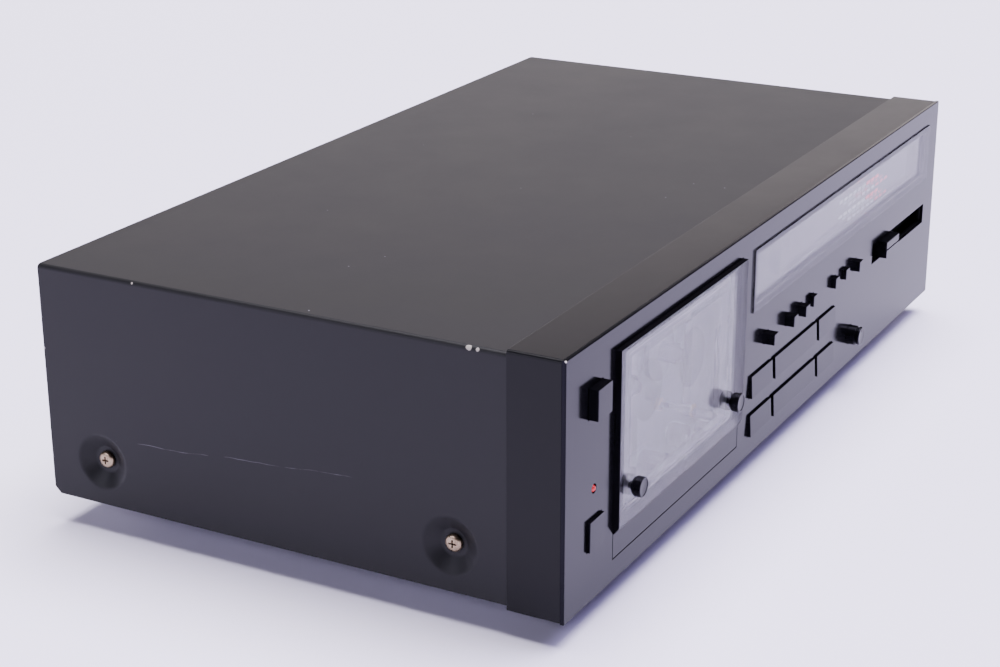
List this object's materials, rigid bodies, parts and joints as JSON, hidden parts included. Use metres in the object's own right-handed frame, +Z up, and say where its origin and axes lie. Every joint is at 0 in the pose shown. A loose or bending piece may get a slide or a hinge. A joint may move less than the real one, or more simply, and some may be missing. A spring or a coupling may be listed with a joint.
{
  "type": "cassette deck",
  "caption": "Full-width front-loading cassette deck with a tilting cassette door, flat transport keys, push buttons, slide level control and steel top cover.",
  "frame": {"origin": "bottom centre of the whole deck, on the surface it stands on", "axes": "+X to the right seen from the front, +Y to the back, +Z up"},
  "size_m": [0.443, 0.263, 0.1188],
  "materials": {
    "panel_finish": "black, semi gloss",
    "frame_plastic": "black moulded ABS",
    "cover_paint": "black textured satin enamel on steel",
    "screw_plating": "yellow-zinc plated pan heads",
    "zinc_steel": "zinc plated sheet",
    "rear_paint": "black paint",
    "foot_plastic": "black moulded plastic",
    "display_acrylic": "smoked acrylic",
    "tube_glass": "display tube glass",
    "board_green": "phenolic board",
    "switch_plastic": "moulded switch bodies",
    "led_red": "red lamp",
    "pot_steel": "stamped steel body",
    "board_tan": "phenolic board",
    "component_black": "moulded chips and sleeved capacitors",
    "core_steel": "laminated steel",
    "winding_tape": "taped winding",
    "sink_aluminium": "extruded aluminium",
    "jack_nickel": "nickel plated",
    "inlet_plastic": "moulded nylon",
    "bearing_brass": "turned brass",
    "motor_can": "drawn can",
    "belt_rubber": "rubber roller",
    "pin_steel": "ground pins",
    "window_acrylic": "smoked clear acrylic",
    "holder_steel": "black painted sheet",
    "spring_steel": "leaf springs",
    "knob_gloss": "black gloss",
    "gear_nylon": "white nylon",
    "key_plastic": "black ABS",
    "reel_plastic": "black acetal",
    "flywheel_steel": "turned steel",
    "head_metal": "polished head faces"
  },
  "bodies": {
    "case": {"front_panel": "panel_finish", "front_frame": "frame_plastic", "top_cover": "cover_paint", "case_screws": "screw_plating", "chassis_pan": "zinc_steel", "rear_panel": "rear_paint", "feet": "foot_plastic", "display_window": "display_acrylic", "display_tube": "tube_glass", "front_board": "board_green", "front_switches": "switch_plastic", "power_light": "led_red", "slide_potentiometer": "pot_steel", "output_potentiometer": "pot_steel", "main_board": "board_tan", "board_components": "component_black", "transformer_core": "core_steel", "transformer_winding": "winding_tape", "heat_sink": "sink_aluminium", "phono_jacks": "jack_nickel", "mains_inlet": "inlet_plastic", "mech_plate": "zinc_steel", "capstan_bearing": "bearing_brass", "flywheel_bracket": "zinc_steel", "capstan_motor": "motor_can", "drive_belt": "belt_rubber", "hinge_pins": "pin_steel"},
    "door": {"door_frame": "panel_finish", "door_window": "window_acrylic", "cassette_holder": "holder_steel", "holder_springs": "spring_steel"},
    "thumb_screw_left": {"thumb_screw_left": "knob_gloss"},
    "thumb_screw_right": {"thumb_screw_right": "knob_gloss"},
    "damper_gear": {"damper_gear": "gear_nylon"},
    "eject_button": {"eject_button": "key_plastic"},
    "door_latch": {"door_latch": "holder_steel"},
    "power_button": {"power_button": "key_plastic"},
    "level_slider": {"level_slider": "key_plastic"},
    "output_knob": {"output_knob": "key_plastic"},
    "reel_left": {"reel_left": "reel_plastic"},
    "reel_right": {"reel_right": "reel_plastic"},
    "flywheel": {"flywheel": "flywheel_steel"},
    "motor_pulley": {"motor_pulley": "bearing_brass"},
    "head_base": {"head_base": "zinc_steel", "tape_heads": "head_metal"},
    "pinch_arm": {"pinch_arm": "zinc_steel", "pinch_roller": "belt_rubber"},
    "rewind_key": {"rewind_key": "key_plastic"},
    "play_key": {"play_key": "key_plastic"},
    "forward_key": {"forward_key": "key_plastic"},
    "record_key": {"record_key": "key_plastic"},
    "stop_key": {"stop_key": "key_plastic"},
    "pause_key": {"pause_key": "key_plastic"},
    "reset_button": {"reset_button": "key_plastic"},
    "input_button": {"input_button": "key_plastic"},
    "monitor_button": {"monitor_button": "key_plastic"},
    "memory_button": {"memory_button": "key_plastic"},
    "filter_button": {"filter_button": "key_plastic"},
    "noise_button": {"noise_button": "key_plastic"},
    "bias_button": {"bias_button": "key_plastic"}
  },
  "joints": [
    {"name": "door_hinge", "type": "hinge", "parent": "case", "child": "door", "pos_m": [0, -0.12145, 0.035], "axis": [1, 0, 0], "range_deg": [0, 25]},
    {"name": "thumb_left_turn", "type": "hinge", "parent": "door", "child": "thumb_screw_left", "pos_m": [-0.1658, -0.12715, 0.048], "axis": [0, 1, 0], "continuous": true},
    {"name": "thumb_right_turn", "type": "hinge", "parent": "door", "child": "thumb_screw_right", "pos_m": [-0.0658, -0.12715, 0.048], "axis": [0, 1, 0], "continuous": true},
    {"name": "damper_spin", "type": "hinge", "parent": "case", "child": "damper_gear", "pos_m": [0, -0.11018, 0.05619], "axis": [1, 0, 0], "range_deg": [-105, 5]},
    {"name": "eject_press", "type": "slide", "parent": "case", "child": "eject_button", "axis": [0, 1, 0], "range_m": [0, 0.003], "stiffness_N_per_m": 120},
    {"name": "latch_turn", "type": "hinge", "parent": "case", "child": "door_latch", "pos_m": [0, -0.09925, 0.077], "axis": [1, 0, 0], "range_deg": [-10.5, 1]},
    {"name": "power_press", "type": "slide", "parent": "case", "child": "power_button", "axis": [0, 1, 0], "range_m": [-0.0024, 0.0005], "stiffness_N_per_m": 120},
    {"name": "level_slide", "type": "slide", "parent": "case", "child": "level_slider", "axis": [1, 0, 0], "range_m": [-0.0098, 0.0524]},
    {"name": "output_turn", "type": "hinge", "parent": "case", "child": "output_knob", "pos_m": [0.0942, -0.12465, 0.0266], "axis": [0, 1, 0], "range_deg": [-150, 150]},
    {"name": "reel_left_spin", "type": "hinge", "parent": "case", "child": "reel_left", "pos_m": [-0.13705, -0.12465, 0.077], "axis": [0, 1, 0], "continuous": true},
    {"name": "reel_right_spin", "type": "hinge", "parent": "case", "child": "reel_right", "pos_m": [-0.09455, -0.12465, 0.077], "axis": [0, 1, 0], "continuous": true},
    {"name": "flywheel_spin", "type": "hinge", "parent": "case", "child": "flywheel", "pos_m": [-0.0903, -0.12465, 0.051], "axis": [0, 1, 0], "continuous": true},
    {"name": "pulley_spin", "type": "hinge", "parent": "case", "child": "motor_pulley", "pos_m": [-0.1498, -0.12465, 0.049], "axis": [0, 1, 0], "continuous": true},
    {"name": "head_lift", "type": "slide", "parent": "case", "child": "head_base", "axis": [0, 0, 1], "range_m": [0, 0.0042], "stiffness_N_per_m": 300},
    {"name": "pinch_swing", "type": "hinge", "parent": "case", "child": "pinch_arm", "pos_m": [-0.0763, -0.12465, 0.035], "axis": [0, 1, 0], "range_deg": [-1, 17.5]},
    {"name": "rewind_press", "type": "slide", "parent": "case", "child": "rewind_key", "axis": [0, 1, 0], "range_m": [0, 0.0012], "stiffness_N_per_m": 150},
    {"name": "play_press", "type": "slide", "parent": "case", "child": "play_key", "axis": [0, 1, 0], "range_m": [0, 0.0012], "stiffness_N_per_m": 150},
    {"name": "forward_press", "type": "slide", "parent": "case", "child": "forward_key", "axis": [0, 1, 0], "range_m": [0, 0.0012], "stiffness_N_per_m": 150},
    {"name": "record_press", "type": "slide", "parent": "case", "child": "record_key", "axis": [0, 1, 0], "range_m": [0, 0.0012], "stiffness_N_per_m": 150},
    {"name": "stop_press", "type": "slide", "parent": "case", "child": "stop_key", "axis": [0, 1, 0], "range_m": [0, 0.0012], "stiffness_N_per_m": 150},
    {"name": "pause_press", "type": "slide", "parent": "case", "child": "pause_key", "axis": [0, 1, 0], "range_m": [0, 0.0012], "stiffness_N_per_m": 150},
    {"name": "reset_press", "type": "slide", "parent": "case", "child": "reset_button", "axis": [0, 1, 0], "range_m": [0, 0.002], "stiffness_N_per_m": 120},
    {"name": "input_press", "type": "slide", "parent": "case", "child": "input_button", "axis": [0, 1, 0], "range_m": [0, 0.002], "stiffness_N_per_m": 120},
    {"name": "monitor_press", "type": "slide", "parent": "case", "child": "monitor_button", "axis": [0, 1, 0], "range_m": [0, 0.002], "stiffness_N_per_m": 120},
    {"name": "memory_press", "type": "slide", "parent": "case", "child": "memory_button", "axis": [0, 1, 0], "range_m": [-0.0019, 0.0004], "stiffness_N_per_m": 120},
    {"name": "filter_press", "type": "slide", "parent": "case", "child": "filter_button", "axis": [0, 1, 0], "range_m": [-0.0019, 0.0004], "stiffness_N_per_m": 120},
    {"name": "noise_press", "type": "slide", "parent": "case", "child": "noise_button", "axis": [0, 1, 0], "range_m": [-0.0019, 0.0004], "stiffness_N_per_m": 120},
    {"name": "bias_press", "type": "slide", "parent": "case", "child": "bias_button", "axis": [0, 1, 0], "range_m": [0, 0.002], "stiffness_N_per_m": 120}
  ],
  "couplings": [
    {"joint": "damper_spin", "follows": "door_hinge", "ratio": -4},
    {"joint": "latch_turn", "follows": "eject_press", "rad_per_m": -58.178},
    {"joint": "pulley_spin", "follows": "flywheel_spin", "ratio": 4.2},
    {"joint": "pinch_swing", "follows": "head_lift", "rad_per_m": 69.813}
  ]
}
